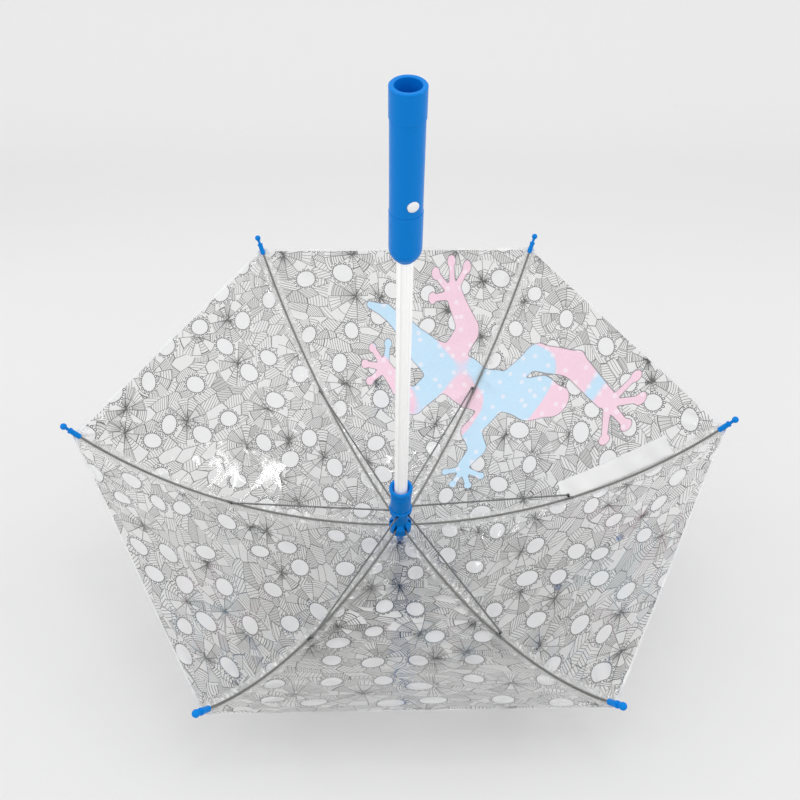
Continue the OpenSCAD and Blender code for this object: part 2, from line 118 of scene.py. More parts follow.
LEAN = min(lean_onto(row(k / 18, FILM)) for k in range(19))
COS, SIN = math.cos(LEAN), math.sin(LEAN)
FRONT = BALL[0] * MID
Y_BACK = FRONT * COS - BALL[1] * SIN + BALL_R
Y_FRONT = -max(FRONT * COS + BALL[1] * SIN + BALL_R, HANDLE_END * SIN + COLLAR_R * COS)
LIFT = FERRULE_R - FERRULE_TIP * COS
TURN = np.array([[1, 0, 0], [0, COS, -SIN], [0, SIN, COS]])
SHIFT = np.array([0, -(Y_BACK + Y_FRONT) / 2, LIFT])


def to_row(points):
    """Points along the shaft's axis, in millimetres, in the row frame, in metres."""
    return (np.asarray(points, float) @ TURN.T + SHIFT) / 1000


def to_row_direction(v):
    return np.asarray(v, float) @ TURN.T


# ---- the film ----
FLOOR_PANEL = 4             # the panel that the umbrella rests on


def film(panel, u, t, out=0.0):
    """Points of one panel. t is -1 at its first rib and 1 at the next; out is outward from the film's
    middle."""
    u, t = np.broadcast_arrays(np.asarray(u, float), np.asarray(t, float))
    rho, z = row(u, FILM / 2)
    a = INNER + u * (CORNER - INNER)
    e_rho, e_z = -np.sin(a), np.cos(a)
    x, y = rho * MID, t * rho / 2
    n = np.stack([e_z, 0 * e_z, -MID * e_rho], -1)
    n /= np.linalg.norm(n, axis=-1, keepdims=True)
    d = creases(panel, u, t, rho, y) + out
    p = np.stack([x, y, z], -1) + n * d[..., None]
    b = math.radians(STEP * (panel + 0.5))
    c, s = math.cos(b), math.sin(b)
    return p @ np.array([[c, s, 0], [-s, c, 0], [0, 0, 1]])


def creases(panel, u, t, rho, y):
    """How far the film stands off its taut shape: nothing at the ribs, puckers beside them and at the crown.
    The panel on the floor only sags inward."""
    k = 1.7 * panel
    seam = (1 - np.abs(t)) * rho / 2
    window = smooth(seam / 9) * smooth((1 - u) / 0.03)
    along = u * FILM_LENGTH
    pucker = 1.5 * np.exp(-seam / 20) * np.sin(along / 5.3 + 1.3 * np.sin(along / 31 + k) + 3 * t)
    pucker *= 0.45 + 0.55 * np.sin(along / 47 + 2.1 * k) ** 2
    crown = 1.5 * np.exp(-rho / 70) * np.sin(9 * t + k)
    fan = 0
    for side in (-1, 1):
        near = np.hypot((1 - u) * FILM_LENGTH, (1 - side * t) * rho / 2)
        turn = np.arctan2((1 - u) * FILM_LENGTH + 4, (1 - side * t) * rho / 2 + 4)
        fan = fan + 1.3 * np.exp(-near / 75) * np.sin(15 * turn + k + side)
    wide = 1.6 * np.sin(y / 33 + along / 61 + k) * np.sin(along / 83 + 1.9 * k)
    hem = 0.8 * np.exp(-(1 - u) * FILM_LENGTH / 16) * np.sin(y / 9.5 + k)
    d = (pucker + crown + fan + 0.7 * wide + hem - 0.6) * window
    return np.minimum(d, 0) if panel == FLOOR_PANEL else d


# ---- small class that lets shader maths be written as maths ----
TAU = 2 * math.pi
FIGURE_ZERO = 0.1          # metres; the distance to the animal is cut off this far out and kept above zero


class Value:
    """One number in a material: a socket that can be added, compared and so on."""

    def __init__(self, tree, socket):
        self.tree, self.socket = tree, socket

    def _math(self, operation, *values):
        node = self.tree.nodes.new("ShaderNodeMath")
        node.operation = operation
        for slot, v in zip(node.inputs, values):
            if isinstance(v, Value):
                self.tree.links.new(v.socket, slot)
            else:
                slot.default_value = v
        return Value(self.tree, node.outputs[0])

    def __add__(self, o): return self._math("ADD", self, o)
    def __radd__(self, o): return self._math("ADD", o, self)
    def __sub__(self, o): return self._math("SUBTRACT", self, o)
    def __rsub__(self, o): return self._math("SUBTRACT", o, self)
    def __mul__(self, o): return self._math("MULTIPLY", self, o)
    def __rmul__(self, o): return self._math("MULTIPLY", o, self)
    def __truediv__(self, o): return self._math("DIVIDE", self, o)
    def __rtruediv__(self, o): return self._math("DIVIDE", o, self)
    def __lt__(self, o): return self._math("LESS_THAN", self, o)
    def __gt__(self, o): return self._math("GREATER_THAN", self, o)
    def __neg__(self): return self._math("MULTIPLY", self, -1.0)
    def __abs__(self): return self._math("ABSOLUTE", self)
    def __mod__(self, o): return self._math("FLOORED_MODULO", self, o)
    def sin(self): return self._math("SINE", self)
    def cos(self): return self._math("COSINE", self)
    def floor(self): return self._math("FLOOR", self)
    def atan2(self, o): return self._math("ARCTAN2", self, o)
    def max(self, o): return self._math("MAXIMUM", self, o)

    def hypot(self, o):
        return self._math("SQRT", self * self + o * o)

    def ramp(self, low, high):
        """0 below low to 1 above high."""
        node = self.tree.nodes.new("ShaderNodeMapRange")
        node.interpolation_type = "SMOOTHSTEP"
        self.tree.links.new(self.socket, node.inputs[0])
        node.inputs[1].default_value, node.inputs[2].default_value = low, high
        return Value(self.tree, node.outputs[0])


class Paint:
    """One material's node tree."""

    def __init__(self, name):
        self.material = bpy.data.materials.new(name)
        self.material.use_nodes = True
        self.tree = self.material.node_tree
        self.shader = self.tree.nodes["Principled BSDF"]

    def node(self, kind, inputs=None, **settings):
        node = self.tree.nodes.new(kind)
        for key, v in settings.items():
            setattr(node, key, v)
        for key, v in (inputs or {}).items():
            if isinstance(v, Value):
                v = v.socket
            if isinstance(v, bpy.types.NodeSocket):
                self.tree.links.new(v, node.inputs[key])
            else:
                node.inputs[key].default_value = v
        return node

    def set(self, **inputs):
        for key, v in inputs.items():
            slot = self.shader.inputs[key.replace("_", " ")]
            if isinstance(v, Value):
                v = v.socket
            if isinstance(v, bpy.types.NodeSocket):
                self.tree.links.new(v, slot)
            else:
                slot.default_value = v
        return self.material

    def number(self, name):
        return Value(self.tree, self.node("ShaderNodeAttribute", attribute_name=name).outputs["Fac"])

    def split(self, socket):
        parts = self.node("ShaderNodeSeparateXYZ", {0: socket}).outputs
        return [Value(self.tree, s) for s in parts]

    def join(self, x, y, z=0.0):
        return self.node("ShaderNodeCombineXYZ", {0: x, 1: y, 2: z}).outputs[0]

    def place(self):
        return self.node("ShaderNodeTexCoord").outputs["Object"]

    def noise(self, scale, vector=None, detail=3.0, roughness=0.5):
        node = self.node("ShaderNodeTexNoise", {"Scale": scale, "Detail": detail, "Roughness": roughness,
                                                "Vector": self.place() if vector is None else vector})
        return Value(self.tree, node.outputs["Fac"])

    def chance(self, x, y, z):
        """Three random numbers for each whole x, y and z."""
        node = self.node("ShaderNodeTexWhiteNoise", {"Vector": self.join(x, y, z)})
        return self.split(node.outputs["Color"])

    def voronoi(self, x, y, size, shuffle, feature):
        inputs = {"Vector": self.join(x / size, y / size), "Scale": 1.0, "Randomness": shuffle}
        return self.node("ShaderNodeTexVoronoi", inputs, voronoi_dimensions="2D", feature=feature)

    def cell_edge(self, x, y, size, shuffle=1.0):
        """Distance to the nearest edge between cells, in millimetres."""
        node = self.voronoi(x, y, size, shuffle, "DISTANCE_TO_EDGE")
        return Value(self.tree, node.outputs["Distance"]) * size

    def cells(self, x, y, size, shuffle=1.0):
        """Cells in millimetres: x and y from the cell's own point, and three random numbers."""
        node = self.voronoi(x, y, size, shuffle, "F1")
        px, py, _ = self.split(node.outputs["Position"])
        rnd = self.split(node.outputs["Color"])
        return x - px * size, y - py * size, rnd

    def mix(self, share, a, b):
        node = self.node("ShaderNodeMix", data_type="RGBA")
        for key, v in ((0, share), (6, a), (7, b)):
            v = v.socket if isinstance(v, Value) else v
            if isinstance(v, bpy.types.NodeSocket):
                self.tree.links.new(v, node.inputs[key])
            else:
                node.inputs[key].default_value = v
        return node.outputs[2]

    def bump(self, height, strength, distance):
        inputs = {"Height": height, "Strength": strength, "Distance": distance}
        return self.node("ShaderNodeBump", inputs).outputs[0]


def colour(r, g, b):
    """An sRGB colour, 0 to 255, as linear values."""
    def linear(v):
        v /= 255
        return v / 12.92 if v < 0.04045 else ((v + 0.055) / 1.055) ** 2.4
    return linear(r), linear(g), linear(b), 1.0


def plain_paint(name, rgb, roughness, metallic=0.0, grain=0.0, coat=0.0, alpha=1.0, scale=900.0, shine=0.5):
    p = Paint(name)
    n = p.noise(scale)
    m = p.set(Base_Color=p.mix(n, colour(*rgb), colour(*[min(255, v * 1.03 + 1) for v in rgb])),
              Roughness=roughness + 0.08 * (n - 0.5), Metallic=metallic, Coat_Weight=coat, Alpha=alpha,
              Specular_IOR_Level=shine)
    if grain:
        p.set(Normal=p.bump(n, grain, 0.0003))
    return m


def tube_paint():
    """Frosted tube with faint streaks along it, and a painted glow: a faint white emission that brightens it
    beyond its lighting.
    """
    p = Paint("clear_tube_mat")
    x, y, z = p.split(p.place())
    # around the shaft, from the row frame: across is X, depth is along the leaned Y
    depth = (y - float(SHIFT[1] / 1000)) * COS + (z - float(SHIFT[2] / 1000)) * SIN
    turn = depth.atan2(x)
    streak = p.noise(1.0, p.join(turn * 6.0, 0.0, 0.0), 2.0)
    thin = abs((turn * 2.0 + 0.75).sin()) < 0.13
    shade = streak.ramp(0.3, 0.55) * (1.0 - thin * 0.6)
    # painted glow: the faint white emission only makes the tube look brighter than its lighting makes it
    return p.set(Base_Color=p.mix(shade, colour(226, 226, 225), colour(255, 255, 254)), Roughness=0.25,
                 Coat_Weight=0.3, Emission_Color=(1.0, 1.0, 1.0, 1.0), Emission_Strength=0.14)


def ovals(p, x, y):
    """Ovals with a ring of small loops: the outline and loops, the inside, and the inside with the ring."""
    ax, ay, (a0, a1, _) = p.cells(x, y, 51.0, 0.55)
    tilt = a0 * 6.28
    ex = ax * tilt.cos() + ay * tilt.sin()
    ey = (ay * tilt.cos() - ax * tilt.sin()) * 1.22
    r, phi = ex.hypot(ey), ey.atan2(ex)
    over = r - (10.4 + 2.4 * a1)
    loops = 15.0
    loop_at = (((phi * (loops / TAU)) % 1.0) - 0.5) * (TAU / loops) * r
    round_part = abs(loop_at.hypot(over - 2.1) - 1.5) < 0.48
    base_part = (abs(loop_at) > 1.75) * (abs(over - 0.9) < 0.35)
    loop = round_part.max(base_part)
    outline = abs(over - 0.1) < 0.28
    return (outline * 0.8).max(loop), over < 0.0, over < 4.0


def rays(p, x, y):
    """Rays round dark middles, each cut into lengths that are barred, lined, grey or clear: the ink, and
    how far they reach."""
    bx, by, (b0, b1, b2) = p.cells(x + 13.0, y - 9.0, 66.0, 0.9)
    br = bx.hypot(by)
    count = 12.0
    turn = (by.atan2(bx) / TAU + b0) * count
    part = (turn % 1.0 - 0.5) * (TAU / count)
    spoke = abs(br * part) > (br * (math.pi / count) - 0.3)
    ray = (turn % count).floor()
    shift, _, _ = p.chance(ray, b2 * 71.0, 3.5)
    along = br / 15.0 + shift
    w0, w1, w2 = p.chance(ray + 0.5, along.floor() + 0.5, b2 * 89.0)
    end = abs(along % 1.0 - 0.5) > 0.48
    bar_pitch = 1.8 + 1.8 * w0
    bars = (abs((br % bar_pitch) - bar_pitch * 0.5) < 0.32) * (w1 < 0.42)
    lines = (abs((turn * 4.0) % 1.0 - 0.5) * (TAU / count / 4.0) * br < 0.26) * (w1 > 0.72)
    reach = br < (25.0 + 13.0 * b1)
    smudge = 1.0 - br.ramp(0.5, 15.0)
    wedge = spoke.max(end).max(bars).max(lines).max((w2 < 0.22) * 0.42)
    return (wedge * reach).max(smudge * 0.6), reach


def hatching(p, x, y):
    """Long cells, each hatched its own way, blank or grey."""
    size, shuffle = 27.0, 0.9
    sx, sy = x + 0.55 * y, (y - 0.35 * x) * 2.3
    _, _, (c0, c1, c2) = p.cells(sx, sy, size, shuffle)
    way = (c0 * 6.0).floor() * 0.55 + 0.2
    hatch_at = x * way.cos() + y * way.sin()
    pitch = 1.9 + 2.2 * c1
    hatch = abs((hatch_at % pitch) - pitch * 0.5) < 0.34
    edge = p.cell_edge(sx, sy, size, shuffle) < 0.75
    blank, fill = c2 > 0.84, c2 < 0.2
    return (hatch * (1.0 - blank) * 0.9).max(edge * 0.9).max(fill * (0.3 + 0.3 * c1))


def film_paint():
    """Clear film printed with line doodles and one pastel animal, with painted highlights: near-white glints
    beside the seams that stand in for light caught by the creases.
    """
    p = Paint("clear_film_mat")
    ux, uy, _ = p.split(p.node("ShaderNodeUVMap", uv_map="flat").outputs[0])
    flat = p.join(ux, uy)
    wob = p.noise(26.0, flat, 1.0) - 0.5
    x, y = ux * 1000.0 + wob * 5.0, uy * 1000.0 - wob * 4.0

    ring_ink, inside, clear = ovals(p, x, y)
    ray_ink, reach = rays(p, x, y)
    ground = (hatching(p, x, y) * (1.0 - reach)).max(ray_ink)
    ink = ground * (1.0 - clear) + ring_ink * clear

    # the welded seams at the ribs, and the hem
    seam, hem = p.number("seam") * 1000.0, p.number("hem") * 1000.0
    weld = seam < 8.0
    weld_lines = (abs(seam % 1.6 - 0.8) < 0.26) * weld
    ink = (ink * (1.0 - weld * 0.35)).max(weld_lines * 0.45).max((seam < 0.9) * 0.6)
    hem_band = hem < 3.5
    ink = ink * (1.0 - hem_band * 0.75)

    # the animal
    fig = (p.number("figure") - FIGURE_ZERO) * 1000.0
    body, line = fig < 0.0, abs(fig) < 0.45
    spot_x, spot_y, _ = p.cells(x, y, 19.0, 0.8)
    spot = spot_x.hypot(spot_y) < 3.0
    pastel = p.mix(p.number("tone").ramp(0.47, 0.53), colour(184, 224, 250), colour(247, 202, 222))
    pastel = p.mix(spot * 0.55, pastel, colour(250, 240, 248))

    base = p.mix(ink, p.mix(inside, colour(205, 205, 202), colour(232, 232, 234)), colour(30, 30, 28))
    base = p.mix(hem_band * 0.8, base, colour(244, 245, 245))
    # painted highlight: near-white glints beside the seams, painted into the film's colour here and into its
    # opacity below, standing in for light caught by the creases
    painted_highlight = p.noise(190.0, flat, 2.0).ramp(0.53, 0.6) * (1.0 - seam.ramp(4.0, 12.0))
    base = p.mix(painted_highlight * 0.9, base, colour(252, 252, 250))
    base = p.mix(body, base, pastel)
    base = p.mix(line * 0.8, base, colour(96, 90, 100))
    alpha = 0.20 + inside * 0.24 + weld * 0.14 + hem_band * 0.35
    alpha = alpha.max(ink * 0.94).max(painted_highlight * 0.8).max(body * 0.84).max(line * 0.85)
    crinkle = p.noise(75.0, flat, 3.0, 0.6) * (1.0 - seam.ramp(4.0, 34.0)) + 0.3 * p.noise(30.0, flat, 2.0)
    return p.set(Base_Color=base, Alpha=alpha, Roughness=0.08, Coat_Weight=1.0, Coat_Roughness=0.03,
                 Specular_IOR_Level=0.8, Normal=p.bump(crinkle, 0.8, 0.004))


# ---- the animal printed on the film: plan view, millimetres from the shaft ----
ANIMAL_SPINE = [(-36, 256, 3), (-14, 250, 6), (8, 236, 10), (32, 214, 16), (58, 196, 23), (88, 180, 26),
                (116, 162, 25), (142, 146, 19), (168, 130, 24), (190, 116, 16)]
ANIMAL_LIMBS = [
    [(130, 162, 14), (170, 178, 13), (212, 146, 11), (242, 92, 9)],
    [(118, 140, 14), (92, 118, 12), (98, 92, 10), (80, 74, 7)],
    [(70, 204, 15), (92, 232, 13), (74, 262, 10)],
    [(52, 182, 15), (20, 158, 13), (2, 176, 10), (-14, 194, 8)],
]
ANIMAL_TOES = [
    ((244, 86), [(272, 96), (275, 72), (260, 54), (238, 50)], 5.8),
    ((80, 70), [(100, 56), (84, 47), (66, 52), (58, 70)], 4.8),
    ((72, 262), [(90, 284), (70, 289), (50, 280), (46, 260)], 5.4),
    ((-16, 196), [(-12, 220), (-32, 216), (-42, 200), (-36, 182)], 5.0),
]


def capsule(x, y, a, b):
    (ax, ay, ar), (bx, by, br) = a, b
    dx, dy = bx - ax, by - ay
    t = np.clip(((x - ax) * dx + (y - ay) * dy) / (dx * dx + dy * dy), 0, 1)
    return np.hypot(x - ax - t * dx, y - ay - t * dy) - (ar + t * (br - ar))


def blend_min(a, b, k=4.0):
    h = np.clip(0.5 + 0.5 * (b - a) / k, 0, 1)
    return b + (a - b) * h - k * h * (1 - h)


def animal(x, y):
    """Signed distance to the animal's outline, negative inside, and its colour, 0 blue to 1 pink."""
    d = np.full(x.shape, 1e3)
    for chain in [ANIMAL_SPINE, *ANIMAL_LIMBS]:
        for a, b in zip(chain, chain[1:]):
            d = blend_min(d, capsule(x, y, a, b))
    for (hx, hy), toes, pad in ANIMAL_TOES:
        for tx, ty in toes:
            d = blend_min(d, capsule(x, y, (hx, hy, 4.2), (tx, ty, 3.0)), 2.0)
            d = np.minimum(d, np.hypot(x - tx, y - ty) - pad)
    tone = 0.5 + 0.5 * np.sin(x / 27 + 1.5 * np.sin(y / 33) + 0.6) * np.cos((x - y) / 71)
    return d, tone


# ---- meshes ----
def new_object(name, points, faces, material, body):
    mesh = bpy.data.meshes.new(name)
    mesh.from_pydata([tuple(p) for p in points], [], faces)
    mesh.materials.append(material)
    mesh.polygons.foreach_set("use_smooth", [True] * len(mesh.polygons))
    mesh.update()
    obj = bpy.data.objects.new(name, mesh)
    bpy.context.scene.collection.objects.link(obj)
    if body:
        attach(obj, body)
    return obj


def set_numbers(mesh, name, values):
    layer = mesh.attributes.new(name, "FLOAT", "POINT")
    layer.data.foreach_set("value", np.asarray(values, np.float32).ravel())


def grid_faces(rows, columns, flip=False):
    k = np.arange(rows * columns).reshape(rows, columns)
    quads = np.stack([k[:-1, :-1], k[1:, :-1], k[1:, 1:], k[:-1, 1:]], -1).reshape(-1, 4)
    return (quads[:, ::-1] if flip else quads).tolist()


SHARES = np.linspace(0, 1, SAMPLES)
CURVE = np.stack(row(SHARES, FILM / 2)) * [[MID], [1]]      # a panel's middle line
FLAT = np.concatenate([[0], np.cumsum(np.hypot(*np.diff(CURVE, axis=1)))])


def flat_height(u):
    """How far up the flat panel u is."""
    return np.interp(u, SHARES, FLAT)


def panel_of(rib, side):
    """The panel on that side of a rib, and t's sign at the rib."""
    return (rib, -1) if side > 0 else ((rib - 1) % RIBS, 1)


FOLD = math.radians(57.868)
TANGENT, LIFT_SHARE = 0.433, 0.25       # a half panel's middle lies this far off its rib, as shares of rho
FLATTEST = 0.06


def fold_keep(rho, e_rho, e_z):
    """What share of a panel's half width is left, square to the rib, when it has folded into a pleat."""
    tau, nu = TANGENT * rho, LIFT_SHARE * rho * e_z
    z = ARC[1] - math.sqrt(max(0.0, ARC_R ** 2 - (rho - ARC[0]) ** 2))
    folded = HINGE[0] + (rho - HINGE[0]) * math.cos(FOLD) - z * math.sin(FOLD)
    psi = math.atan2(e_rho, e_z) - FOLD
    slope = math.tan(math.radians(STEP / 2))
    share = slope * (folded - LIFT_SHARE * rho * e_rho * math.sin(psi)) / (tau + slope * nu * math.cos(psi))
    return min(1.0, max(FLATTEST, share))


def build_canopy(rib, bands, cell, material):
    """The half panels on both sides of one rib, in bands: each piece with where it starts and ends."""
    made = []
    for side in (1, -1):
        panel, sign = panel_of(rib, side)
        for band in range(bands):
            u0, u1 = band / bands, (band + 1) / bands
            rows_n = max(3, round((u1 - u0) * FILM_LENGTH / cell)) + 1
            mid_rho = float(row((u0 + u1) / 2)[0])
            cols_n = max(6, round(float(row(u1)[0]) / 2 / cell)) + 1
            u = np.linspace(u0, u1, rows_n)[:, None]
            s = np.linspace(0, 1, cols_n)[None, :]          # 0 at the rib, 1 at the panel's middle
            t = sign * (1 - s)
            points = film(panel, u, t)
            du = dt = 1e-4
            along = film(panel, u + du, t) - film(panel, u - du, t)
            across = film(panel, u, t + dt) - film(panel, u, t - dt)
            normal = np.cross(across, along)
            normal /= np.linalg.norm(normal, axis=-1, keepdims=True)
            rho = np.broadcast_to(row(u, FILM / 2)[0], points.shape[:2])
            name = f"film_{rib + 1}_{'a' if side > 0 else 'b'}{band + 1}"
            faces = grid_faces(rows_n, cols_n, sign < 0)
            obj = new_object(name, to_row(points.reshape(-1, 3)), faces, material, f"rib_part_{rib + 1}")
            mesh = obj.data
            flat_x = t * rho / 2 / 1000 + 0.61 * panel
            flat_y = np.broadcast_to(flat_height(u) / 1000, rho.shape) + 0.37 * panel
            flat = np.stack([flat_x, flat_y], -1).reshape(-1, 2)
            layer = mesh.uv_layers.new(name="flat")
            corner = np.zeros(len(mesh.loops), int)
            mesh.loops.foreach_get("vertex_index", corner)
            layer.data.foreach_set("uv", flat[corner].astype(np.float32).ravel())
            set_numbers(mesh, "seam", np.broadcast_to(s, rho.shape) * rho / 2 * 0.92 / 1000)
            set_numbers(mesh, "hem", np.broadcast_to((1 - u) * (CORNER - INNER) * ARC_R, rho.shape) / 1000)
            d, tone = animal(points[..., 0], points[..., 1])
            set_numbers(mesh, "figure", np.clip(d / 1000, -FIGURE_ZERO, FIGURE_ZERO) + FIGURE_ZERO)
            set_numbers(mesh, "tone", tone)
            mesh.normals_split_custom_set_from_vertices(to_row_direction(normal.reshape(-1, 3)).tolist())
            # folding: how much of the band is left when it closes up square to the rib, and its anchor on the
            # rib's own line, are worked out here but not used
            a = INNER + (u0 + u1) / 2 * (CORNER - INNER)
            e_rho, e_z = -math.sin(a), math.cos(a)
            keep = fold_keep(mid_rho, e_rho, e_z)
            b = math.radians(STEP * rib)
            radial = np.array([math.cos(b), math.sin(b), 0])
            r_a, z_a = row((u0 + u1) / 2, FILM / 2)
            anchor = to_row([r_a * radial[0], r_a * radial[1], z_a])
            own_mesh(obj)
            made.append((obj, u0, u1))
    return made


FINE = np.linspace(0, 1, 801)


def share_at(rho_at):
    """u where the film is that far from the shaft."""
    return float(np.interp(rho_at, row(FINE)[0], FINE))


def strip_points(panel, rho_at, c_at, turn, length, width, out, wall, round_ends, rows_n=40, sides=12):
    """A strip that follows a panel, as a closed mesh: its points and faces."""
    u0 = share_at(rho_at)
    v0 = float(flat_height(u0))
    s = -length / 2 * np.cos(np.pi * np.arange(rows_n + 1) / rows_n)
    past = np.maximum(0, np.abs(s) - (length - width) / 2)
    rounded = np.sqrt(np.maximum(0.02, (width / 2) ** 2 - past ** 2))
    half = rounded if round_ends else np.full(s.shape, width / 2)
    w = np.linspace(-1, 1, sides + 1)[None, :] * half[:, None]
    l = np.broadcast_to(s[:, None], w.shape)
    cos, sin = math.cos(turn), math.sin(turn)
    c, v = c_at + l * cos - w * sin, v0 + l * sin + w * cos
    u = np.interp(v, FLAT, SHARES)
    t = c / (row(u, FILM / 2)[0] / 2)
    layers = [film(panel, u, t, out), film(panel, u, t, out + wall)]
    n = (rows_n + 1) * (sides + 1)
    points = np.concatenate([p.reshape(-1, 3) for p in layers])
    sheet = grid_faces(rows_n + 1, sides + 1)
    faces = sheet + [[k + n for k in f[::-1]] for f in sheet]
    k = np.arange(n).reshape(rows_n + 1, sides + 1)
    rim = [*k[0, :-1], *k[:-1, -1], *k[-1, :0:-1], *k[:0:-1, 0]]
    faces += [[a, b, b + n, a + n] for a, b in zip(rim, rim[1:] + rim[:1])]
    return points, [[int(v) for v in f] for f in faces]


LABEL_AT = (255, -111)              # from the shaft and from the panel's middle
LABEL_TURN = math.radians(112.5)
STRAP_PANEL, STRAP_AT = 5, (257, 5)
STRAP_TURN = math.radians(37)
STRAP_LENGTH = 0.098
SNAP_SPAN = 42.0                    # from the strap's middle to each snap
SNAPS = (("snap_a", "rib_part_6", -1, "strap_snap"), ("snap_b", "rib_part_1", 1, "canopy_snap"))


def build_label(length, width, material):
    points, faces = strip_points(0, *LABEL_AT, LABEL_TURN, length * 1000, width * 1000, -0.95, 0.25, False)
    label = new_object("care_label_tape", to_row(points), faces, material, "rib_part_1")
    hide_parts("care_label")


def build_strap(width, material):
    points, faces = strip_points(STRAP_PANEL, *STRAP_AT, STRAP_TURN, STRAP_LENGTH * 1000, width * 1000,
                                 0.75, 0.35, True)
    strap = new_object("strap_film", to_row(points), faces, material, "rib_part_6")
    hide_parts("closing_strap")


def build_snaps(material):
    for name, body, end, node in SNAPS:
        rho_at = STRAP_AT[0] + end * SNAP_SPAN * math.sin(STRAP_TURN) * 0.85
        c_at = STRAP_AT[1] + end * SNAP_SPAN * math.cos(STRAP_TURN)
        points, faces = snap_profile(STRAP_PANEL, rho_at, c_at)
        snap = new_object(name, to_row(points), faces, material, body)
        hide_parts(node)


def snap_profile(panel, rho_at, c_at):
    """A press stud turned about the film's own normal: flange, shoulder and dimpled cap."""
    u0 = share_at(rho_at)
    t0 = c_at / (float(row(u0, FILM / 2)[0]) / 2)
    at = film(panel, u0, t0)
    up = film(panel, u0, t0, 1.0) - at
    along = film(panel, u0 + 1e-3, t0) - at
    along /= np.linalg.norm(along)
    side = np.cross(up, along)
    outline = [(0.0, 1.15), (4.3, 1.15), (4.5, 1.3), (4.5, 1.7), (4.2, 1.95), (3.3, 2.1), (3.0, 2.5),
               (2.2, 2.75), (1.5, 2.7), (1.1, 2.45), (0.0, 2.4)]
    count = 36
    points, faces = [], []
    for r, h in outline:
        for k in range(count):
            a = 2 * math.pi * k / count
            points.append(at + up * h + r * (math.cos(a) * along + math.sin(a) * side))
    for i in range(len(outline) - 1):
        for k in range(count):
            a, b = i * count + k, i * count + (k + 1) % count
            faces.append([a, b, b + count, a + count])
    return np.array(points), faces


def weld_group():
    """Geometry Nodes: short weld bars laid square across a line at an even pitch."""
    group = bpy.data.node_groups.new("weld_bars", "GeometryNodeTree")
    face = group.interface
    face.new_socket("Geometry", in_out="INPUT", socket_type="NodeSocketGeometry")
    lengths = (("Pitch", 0.0022), ("Bar Length", 0.005), ("Bar Width", 0.0006), ("Bar Height", 0.0002))
    for name, value in lengths:
        socket = face.new_socket(name, in_out="INPUT", socket_type="NodeSocketFloat")
        socket.default_value = value
        socket.min_value = 0.00005
    seed = face.new_socket("Seed", in_out="INPUT", socket_type="NodeSocketInt")
    seed.default_value = 4
    face.new_socket("Material", in_out="INPUT", socket_type="NodeSocketMaterial")
    face.new_socket("Geometry", in_out="OUTPUT", socket_type="NodeSocketGeometry")
    nodes, links = group.nodes, group.links

    def add(kind, inputs=None, **settings):
        node = nodes.new(kind)
        for key, v in settings.items():
            setattr(node, key, v)
        for key, v in (inputs or {}).items():
            if isinstance(v, bpy.types.NodeSocket):
                links.new(v, node.inputs[key])
            else:
                node.inputs[key].default_value = v
        return node

    given = add("NodeGroupInput").outputs
    line = add("GeometryNodeMeshToCurve", {0: given["Geometry"]})
    even = add("GeometryNodeResampleCurve", {"Curve": line.outputs[0], "Length": given["Pitch"]},
               mode="LENGTH")
    spread = add("GeometryNodeCurveToPoints", {"Curve": even.outputs[0]}, mode="EVALUATED")
    size = add("ShaderNodeCombineXYZ",
               {0: given["Bar Width"], 1: given["Bar Length"], 2: given["Bar Height"]})
    bar = add("GeometryNodeMeshCube", {"Size": size.outputs[0]})
    normal = add("GeometryNodeInputNamedAttribute", {"Name": "up"}, data_type="FLOAT_VECTOR")
    tangent = add("GeometryNodeInputNamedAttribute", {"Name": "way"}, data_type="FLOAT_VECTOR")
    turn = add("FunctionNodeAxesToRotation", {0: normal.outputs[0], 1: tangent.outputs[0]},
               primary_axis="Z", secondary_axis="X")
    vary = add("FunctionNodeRandomValue", {2: 0.8, 3: 1.15, "Seed": given["Seed"]}, data_type="FLOAT")
    scale = add("ShaderNodeCombineXYZ", {0: 1.0, 1: vary.outputs[1], 2: 1.0})
    placed = add("GeometryNodeInstanceOnPoints",
                 {"Points": spread.outputs[0], "Instance": bar.outputs[0],
                  "Rotation": turn.outputs[0], "Scale": scale.outputs[0]})
    real = add("GeometryNodeRealizeInstances", {0: placed.outputs[0]})
    painted = add("GeometryNodeSetMaterial", {"Geometry": real.outputs[0], "Material": given["Material"]})
    out = add("NodeGroupOutput")
    links.new(painted.outputs[0], out.inputs[0])
    return group, {s.name: s.identifier for s in group.interface.items_tree if s.in_out == "INPUT"}


def build_welds(rib, group, sockets, settings, material):
    """The weld bars along both sides of one rib's seam."""
    u = np.linspace(0.1, 0.985, 260)
    points, edges, ups, ways = [], [], [], []
    for side in (1, -1):
        panel, sign = panel_of(rib, side)
        t = sign * (1 - settings.offset * 1000 / (row(u)[0] / 2))
        line, above = film(panel, u, t, 0.1), film(panel, u, t, 1.1)
        start = len(points)
        points += list(line)
        ups += list(above - line)
        way = np.gradient(line, axis=0)
        ways += list(way / np.linalg.norm(way, axis=1, keepdims=True))
        edges += [(start + k, start + k + 1) for k in range(len(u) - 1)]
    mesh = bpy.data.meshes.new("weld_line")
    mesh.from_pydata([tuple(p) for p in to_row(points)], edges, [])
    for name, values in (("up", ups), ("way", ways)):
        layer = mesh.attributes.new(name, "FLOAT_VECTOR", "POINT")
        layer.data.foreach_set("vector", to_row_direction(values).astype(np.float32).ravel())
    line = bpy.data.objects.new("weld_line", mesh)
    bpy.context.scene.collection.objects.link(line)
    modifier = line.modifiers.new("bars", "NODES")
    modifier.node_group = group
    modifier[sockets["Pitch"]] = settings.pitch
    modifier[sockets["Bar Length"]] = settings.bar
    modifier[sockets["Material"]] = material
    bpy.context.view_layer.update()
    made = bpy.data.meshes.new_from_object(line.evaluated_get(bpy.context.evaluated_depsgraph_get()))
    line.modifiers.remove(modifier)
    bpy.data.objects.remove(line)
    obj = bpy.data.objects.new(f"seam_weld_{rib + 1}", made)
    bpy.context.scene.collection.objects.link(obj)
    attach(obj, f"rib_part_{rib + 1}")


